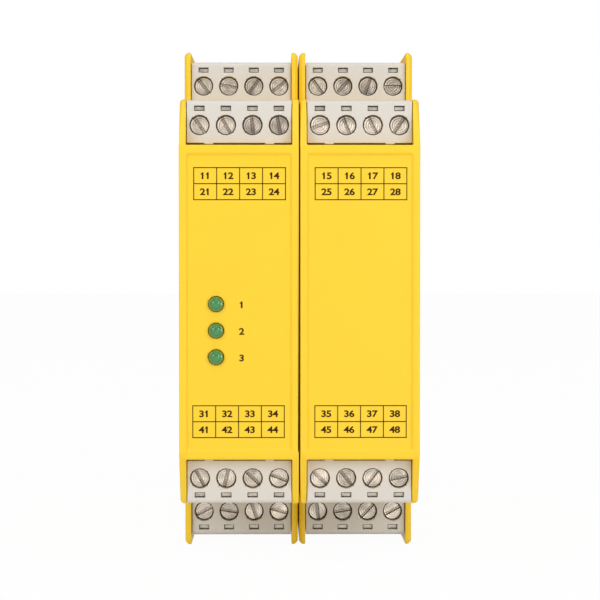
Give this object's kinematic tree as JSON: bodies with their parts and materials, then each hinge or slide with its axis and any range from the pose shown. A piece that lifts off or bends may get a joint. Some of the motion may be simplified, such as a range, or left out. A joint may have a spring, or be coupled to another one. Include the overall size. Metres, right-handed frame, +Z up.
{
  "type": "safety relay",
  "caption": "Yellow safety relay for a mounting rail, with stepped rows of plug-in screw terminals above and below a plain front panel with small green lights.",
  "frame": {"origin": "middle of the rail seat: on the plane where the rail's flanges rest, at the rail's centre line and on the joint between the two housings", "axes": "+X along the rail, to the right as seen from the front; +Y from the front panel to the rail; +Z up"},
  "size_m": [0.0452, 0.1152, 0.0982],
  "materials": {
    "yellow housing": "fine satin",
    "plug plastic": "satin",
    "contact metal": "tinned",
    "screw metal": "zinc plated",
    "header plastic": "satin",
    "board": "lacquered",
    "relay case": "satin",
    "lamp lens": "clear green",
    "spring steel": "bright",
    "latch plastic": "satin"
  },
  "bodies": {
    "housing": {"front_housing_left": "yellow housing", "rear_base_left": "yellow housing", "latch_spring_left": "spring steel", "front_housing_right": "yellow housing", "rear_base_right": "yellow housing", "latch_spring_right": "spring steel", "header_strips": "header plastic", "circuit_boards": "board", "relays": "relay case", "indicator_lights": "lamp lens"},
    "plug left top front": {"plug_left_top_front": "plug plastic", "clamps_left_top_front": "contact metal"},
    "screw left top front 1": {"screw_left_top_front_1": "screw metal"},
    "screw left top front 2": {"screw_left_top_front_2": "screw metal"},
    "screw left top front 3": {"screw_left_top_front_3": "screw metal"},
    "screw left top front 4": {"screw_left_top_front_4": "screw metal"},
    "plug left top back": {"plug_left_top_back": "plug plastic", "clamps_left_top_back": "contact metal"},
    "screw left top back 1": {"screw_left_top_back_1": "screw metal"},
    "screw left top back 2": {"screw_left_top_back_2": "screw metal"},
    "screw left top back 3": {"screw_left_top_back_3": "screw metal"},
    "screw left top back 4": {"screw_left_top_back_4": "screw metal"},
    "plug left bottom front": {"plug_left_bottom_front": "plug plastic", "clamps_left_bottom_front": "contact metal"},
    "screw left bottom front 1": {"screw_left_bottom_front_1": "screw metal"},
    "screw left bottom front 2": {"screw_left_bottom_front_2": "screw metal"},
    "screw left bottom front 3": {"screw_left_bottom_front_3": "screw metal"},
    "screw left bottom front 4": {"screw_left_bottom_front_4": "screw metal"},
    "plug left bottom back": {"plug_left_bottom_back": "plug plastic", "clamps_left_bottom_back": "contact metal"},
    "screw left bottom back 1": {"screw_left_bottom_back_1": "screw metal"},
    "screw left bottom back 2": {"screw_left_bottom_back_2": "screw metal"},
    "screw left bottom back 3": {"screw_left_bottom_back_3": "screw metal"},
    "screw left bottom back 4": {"screw_left_bottom_back_4": "screw metal"},
    "plug right top front": {"plug_right_top_front": "plug plastic", "clamps_right_top_front": "contact metal"},
    "screw right top front 1": {"screw_right_top_front_1": "screw metal"},
    "screw right top front 2": {"screw_right_top_front_2": "screw metal"},
    "screw right top front 3": {"screw_right_top_front_3": "screw metal"},
    "screw right top front 4": {"screw_right_top_front_4": "screw metal"},
    "plug right top back": {"plug_right_top_back": "plug plastic", "clamps_right_top_back": "contact metal"},
    "screw right top back 1": {"screw_right_top_back_1": "screw metal"},
    "screw right top back 2": {"screw_right_top_back_2": "screw metal"},
    "screw right top back 3": {"screw_right_top_back_3": "screw metal"},
    "screw right top back 4": {"screw_right_top_back_4": "screw metal"},
    "plug right bottom front": {"plug_right_bottom_front": "plug plastic", "clamps_right_bottom_front": "contact metal"},
    "screw right bottom front 1": {"screw_right_bottom_front_1": "screw metal"},
    "screw right bottom front 2": {"screw_right_bottom_front_2": "screw metal"},
    "screw right bottom front 3": {"screw_right_bottom_front_3": "screw metal"},
    "screw right bottom front 4": {"screw_right_bottom_front_4": "screw metal"},
    "plug right bottom back": {"plug_right_bottom_back": "plug plastic", "clamps_right_bottom_back": "contact metal"},
    "screw right bottom back 1": {"screw_right_bottom_back_1": "screw metal"},
    "screw right bottom back 2": {"screw_right_bottom_back_2": "screw metal"},
    "screw right bottom back 3": {"screw_right_bottom_back_3": "screw metal"},
    "screw right bottom back 4": {"screw_right_bottom_back_4": "screw metal"},
    "latch left": {"din_latch_left": "latch plastic"},
    "latch right": {"din_latch_right": "latch plastic"}
  },
  "joints": [
    {"name": "plug left top front pull", "type": "slide", "parent": "housing", "child": "plug left top front", "axis": [0, -1, 0], "range_m": [0, 0.025]},
    {"name": "screw left top front 1 turn", "type": "hinge", "parent": "plug left top front", "child": "screw left top front 1", "pos_m": [-0.01887, -0.1074, 0.03345], "axis": [0, 1, 0], "range_deg": [0, 1800]},
    {"name": "screw left top front 2 turn", "type": "hinge", "parent": "plug left top front", "child": "screw left top front 2", "pos_m": [-0.01388, -0.1074, 0.03345], "axis": [0, 1, 0], "range_deg": [0, 1800]},
    {"name": "screw left top front 3 turn", "type": "hinge", "parent": "plug left top front", "child": "screw left top front 3", "pos_m": [-0.00887, -0.1074, 0.03345], "axis": [0, 1, 0], "range_deg": [0, 1800]},
    {"name": "screw left top front 4 turn", "type": "hinge", "parent": "plug left top front", "child": "screw left top front 4", "pos_m": [-0.00387, -0.1074, 0.03345], "axis": [0, 1, 0], "range_deg": [0, 1800]},
    {"name": "plug left top back pull", "type": "slide", "parent": "housing", "child": "plug left top back", "axis": [0, -1, 0], "range_m": [0, 0.025]},
    {"name": "screw left top back 1 turn", "type": "hinge", "parent": "plug left top back", "child": "screw left top back 1", "pos_m": [-0.01887, -0.0874, 0.0425], "axis": [0, 1, 0], "range_deg": [0, 1800]},
    {"name": "screw left top back 2 turn", "type": "hinge", "parent": "plug left top back", "child": "screw left top back 2", "pos_m": [-0.01388, -0.0874, 0.0425], "axis": [0, 1, 0], "range_deg": [0, 1800]},
    {"name": "screw left top back 3 turn", "type": "hinge", "parent": "plug left top back", "child": "screw left top back 3", "pos_m": [-0.00887, -0.0874, 0.0425], "axis": [0, 1, 0], "range_deg": [0, 1800]},
    {"name": "screw left top back 4 turn", "type": "hinge", "parent": "plug left top back", "child": "screw left top back 4", "pos_m": [-0.00387, -0.0874, 0.0425], "axis": [0, 1, 0], "range_deg": [0, 1800]},
    {"name": "plug left bottom front pull", "type": "slide", "parent": "housing", "child": "plug left bottom front", "axis": [0, -1, 0], "range_m": [0, 0.025]},
    {"name": "screw left bottom front 1 turn", "type": "hinge", "parent": "plug left bottom front", "child": "screw left bottom front 1", "pos_m": [-0.01887, -0.1074, -0.03345], "axis": [0, 1, 0], "range_deg": [0, 1800]},
    {"name": "screw left bottom front 2 turn", "type": "hinge", "parent": "plug left bottom front", "child": "screw left bottom front 2", "pos_m": [-0.01388, -0.1074, -0.03345], "axis": [0, 1, 0], "range_deg": [0, 1800]},
    {"name": "screw left bottom front 3 turn", "type": "hinge", "parent": "plug left bottom front", "child": "screw left bottom front 3", "pos_m": [-0.00887, -0.1074, -0.03345], "axis": [0, 1, 0], "range_deg": [0, 1800]},
    {"name": "screw left bottom front 4 turn", "type": "hinge", "parent": "plug left bottom front", "child": "screw left bottom front 4", "pos_m": [-0.00387, -0.1074, -0.03345], "axis": [0, 1, 0], "range_deg": [0, 1800]},
    {"name": "plug left bottom back pull", "type": "slide", "parent": "housing", "child": "plug left bottom back", "axis": [0, -1, 0], "range_m": [0, 0.025]},
    {"name": "screw left bottom back 1 turn", "type": "hinge", "parent": "plug left bottom back", "child": "screw left bottom back 1", "pos_m": [-0.01887, -0.0874, -0.0425], "axis": [0, 1, 0], "range_deg": [0, 1800]},
    {"name": "screw left bottom back 2 turn", "type": "hinge", "parent": "plug left bottom back", "child": "screw left bottom back 2", "pos_m": [-0.01388, -0.0874, -0.0425], "axis": [0, 1, 0], "range_deg": [0, 1800]},
    {"name": "screw left bottom back 3 turn", "type": "hinge", "parent": "plug left bottom back", "child": "screw left bottom back 3", "pos_m": [-0.00887, -0.0874, -0.0425], "axis": [0, 1, 0], "range_deg": [0, 1800]},
    {"name": "screw left bottom back 4 turn", "type": "hinge", "parent": "plug left bottom back", "child": "screw left bottom back 4", "pos_m": [-0.00387, -0.0874, -0.0425], "axis": [0, 1, 0], "range_deg": [0, 1800]},
    {"name": "plug right top front pull", "type": "slide", "parent": "housing", "child": "plug right top front", "axis": [0, -1, 0], "range_m": [0, 0.025]},
    {"name": "screw right top front 1 turn", "type": "hinge", "parent": "plug right top front", "child": "screw right top front 1", "pos_m": [0.00387, -0.1074, 0.03345], "axis": [0, 1, 0], "range_deg": [0, 1800]},
    {"name": "screw right top front 2 turn", "type": "hinge", "parent": "plug right top front", "child": "screw right top front 2", "pos_m": [0.00887, -0.1074, 0.03345], "axis": [0, 1, 0], "range_deg": [0, 1800]},
    {"name": "screw right top front 3 turn", "type": "hinge", "parent": "plug right top front", "child": "screw right top front 3", "pos_m": [0.01388, -0.1074, 0.03345], "axis": [0, 1, 0], "range_deg": [0, 1800]},
    {"name": "screw right top front 4 turn", "type": "hinge", "parent": "plug right top front", "child": "screw right top front 4", "pos_m": [0.01887, -0.1074, 0.03345], "axis": [0, 1, 0], "range_deg": [0, 1800]},
    {"name": "plug right top back pull", "type": "slide", "parent": "housing", "child": "plug right top back", "axis": [0, -1, 0], "range_m": [0, 0.025]},
    {"name": "screw right top back 1 turn", "type": "hinge", "parent": "plug right top back", "child": "screw right top back 1", "pos_m": [0.00387, -0.0874, 0.0425], "axis": [0, 1, 0], "range_deg": [0, 1800]},
    {"name": "screw right top back 2 turn", "type": "hinge", "parent": "plug right top back", "child": "screw right top back 2", "pos_m": [0.00887, -0.0874, 0.0425], "axis": [0, 1, 0], "range_deg": [0, 1800]},
    {"name": "screw right top back 3 turn", "type": "hinge", "parent": "plug right top back", "child": "screw right top back 3", "pos_m": [0.01388, -0.0874, 0.0425], "axis": [0, 1, 0], "range_deg": [0, 1800]},
    {"name": "screw right top back 4 turn", "type": "hinge", "parent": "plug right top back", "child": "screw right top back 4", "pos_m": [0.01887, -0.0874, 0.0425], "axis": [0, 1, 0], "range_deg": [0, 1800]},
    {"name": "plug right bottom front pull", "type": "slide", "parent": "housing", "child": "plug right bottom front", "axis": [0, -1, 0], "range_m": [0, 0.025]},
    {"name": "screw right bottom front 1 turn", "type": "hinge", "parent": "plug right bottom front", "child": "screw right bottom front 1", "pos_m": [0.00387, -0.1074, -0.03345], "axis": [0, 1, 0], "range_deg": [0, 1800]},
    {"name": "screw right bottom front 2 turn", "type": "hinge", "parent": "plug right bottom front", "child": "screw right bottom front 2", "pos_m": [0.00887, -0.1074, -0.03345], "axis": [0, 1, 0], "range_deg": [0, 1800]},
    {"name": "screw right bottom front 3 turn", "type": "hinge", "parent": "plug right bottom front", "child": "screw right bottom front 3", "pos_m": [0.01388, -0.1074, -0.03345], "axis": [0, 1, 0], "range_deg": [0, 1800]},
    {"name": "screw right bottom front 4 turn", "type": "hinge", "parent": "plug right bottom front", "child": "screw right bottom front 4", "pos_m": [0.01887, -0.1074, -0.03345], "axis": [0, 1, 0], "range_deg": [0, 1800]},
    {"name": "plug right bottom back pull", "type": "slide", "parent": "housing", "child": "plug right bottom back", "axis": [0, -1, 0], "range_m": [0, 0.025]},
    {"name": "screw right bottom back 1 turn", "type": "hinge", "parent": "plug right bottom back", "child": "screw right bottom back 1", "pos_m": [0.00387, -0.0874, -0.0425], "axis": [0, 1, 0], "range_deg": [0, 1800]},
    {"name": "screw right bottom back 2 turn", "type": "hinge", "parent": "plug right bottom back", "child": "screw right bottom back 2", "pos_m": [0.00887, -0.0874, -0.0425], "axis": [0, 1, 0], "range_deg": [0, 1800]},
    {"name": "screw right bottom back 3 turn", "type": "hinge", "parent": "plug right bottom back", "child": "screw right bottom back 3", "pos_m": [0.01388, -0.0874, -0.0425], "axis": [0, 1, 0], "range_deg": [0, 1800]},
    {"name": "screw right bottom back 4 turn", "type": "hinge", "parent": "plug right bottom back", "child": "screw right bottom back 4", "pos_m": [0.01887, -0.0874, -0.0425], "axis": [0, 1, 0], "range_deg": [0, 1800]},
    {"name": "latch left pull", "type": "slide", "parent": "housing", "child": "latch left", "axis": [0, 0, -1], "range_m": [0, 0.0035], "stiffness_N_per_m": 1000, "springref_m": -0.003, "deforming": ["latch_spring_left"]},
    {"name": "latch right pull", "type": "slide", "parent": "housing", "child": "latch right", "axis": [0, 0, -1], "range_m": [0, 0.0035], "stiffness_N_per_m": 1000, "springref_m": -0.003, "deforming": ["latch_spring_right"]}
  ]
}
